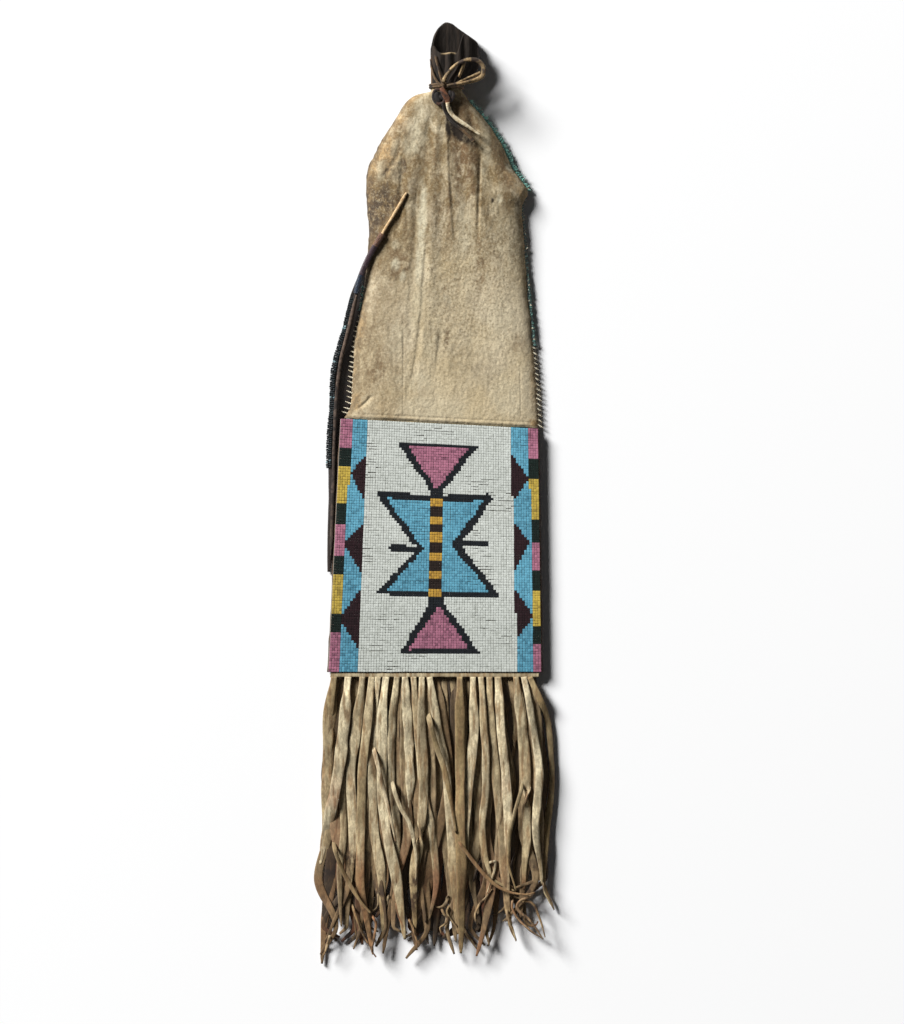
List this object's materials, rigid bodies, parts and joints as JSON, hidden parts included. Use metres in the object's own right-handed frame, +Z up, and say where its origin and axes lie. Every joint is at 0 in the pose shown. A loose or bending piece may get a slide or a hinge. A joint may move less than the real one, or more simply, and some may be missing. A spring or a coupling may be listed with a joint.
{
  "type": "pipe bag",
  "caption": "Long hide bag with a gathered, tied mouth, a beadwork panel of triangles and an hourglass, and a long cut fringe, lying flat on its back.",
  "frame": {"origin": "middle of the underside of the bag's box, on the surface that it lies on, its free thongs left out", "axes": "+X to the right across the beadwork, +Y from the fringe to the gathered mouth, +Z up, out of the beaded front"},
  "size_m": [0.1894, 0.7546, 0.0254],
  "materials": {
    "amber_beads": "opaque gloss",
    "black_beads": "opaque gloss",
    "blue_beads": "opaque gloss",
    "brown_black_beads": "opaque gloss",
    "cream_beads": "opaque gloss",
    "dark_hide": "matt, sooty",
    "fringe_hide": "worn, brushed",
    "green_black_beads": "opaque gloss",
    "maroon_beads": "opaque gloss",
    "pink_beads": "opaque gloss",
    "strap_hide": "worn",
    "tan_hide": "worn, brushed",
    "thong_hide": "worn",
    "white_beads": "opaque gloss",
    "yellow_beads": "opaque gloss"
  },
  "bodies": {
    "root": {"fringe_back": "fringe_hide", "fringe_front": "fringe_hide", "gathered_mouth": "dark_hide", "hide_body": "tan_hide", "hourglass_left": "blue_beads", "hourglass_right": "blue_beads", "left_bar_1_pink": "pink_beads", "left_bar_2_dark": "green_black_beads", "left_bar_3_yellow": "yellow_beads", "left_bar_4_dark": "green_black_beads", "left_bar_5_pink": "pink_beads", "left_bar_6_dark": "green_black_beads", "left_bar_7_yellow": "yellow_beads", "left_bar_8_dark": "green_black_beads", "left_bar_9_pink": "pink_beads", "left_blue_strip": "blue_beads", "left_edge_beads": "cream_beads", "left_half_diamond_1": "maroon_beads", "left_half_diamond_2": "maroon_beads", "left_half_diamond_3": "maroon_beads", "lower_pink_triangle": "pink_beads", "motif_outline": "black_beads", "panel_hide": "tan_hide", "pendant_bead_wrap": "maroon_beads", "pendant_edge_beads": "green_black_beads", "pendant_thong": "strap_hide", "right_bar_1_pink": "pink_beads", "right_bar_2_dark": "green_black_beads", "right_bar_3_yellow": "yellow_beads", "right_bar_4_dark": "green_black_beads", "right_bar_5_pink": "pink_beads", "right_bar_6_dark": "green_black_beads", "right_bar_7_yellow": "yellow_beads", "right_bar_8_dark": "green_black_beads", "right_bar_9_pink": "pink_beads", "right_blue_strip": "blue_beads", "right_half_diamond_1": "maroon_beads", "right_half_diamond_2": "maroon_beads", "right_half_diamond_3": "maroon_beads", "right_lower_edge_beads": "cream_beads", "right_upper_edge_beads": "cream_beads", "stripe_dark_1": "brown_black_beads", "stripe_dark_2": "brown_black_beads", "stripe_dark_3": "brown_black_beads", "stripe_dark_4": "brown_black_beads", "stripe_dark_5": "brown_black_beads", "stripe_yellow_1": "amber_beads", "stripe_yellow_2": "amber_beads", "stripe_yellow_3": "amber_beads", "stripe_yellow_4": "amber_beads", "stripe_yellow_5": "amber_beads", "stripe_yellow_6": "amber_beads", "tie_bow": "thong_hide", "tie_knot": "thong_hide", "tie_tail_long": "thong_hide", "tie_tail_short": "thong_hide", "tie_wrap": "thong_hide", "upper_pink_triangle": "pink_beads", "white_ground": "white_beads"}
  },
  "joints": []
}
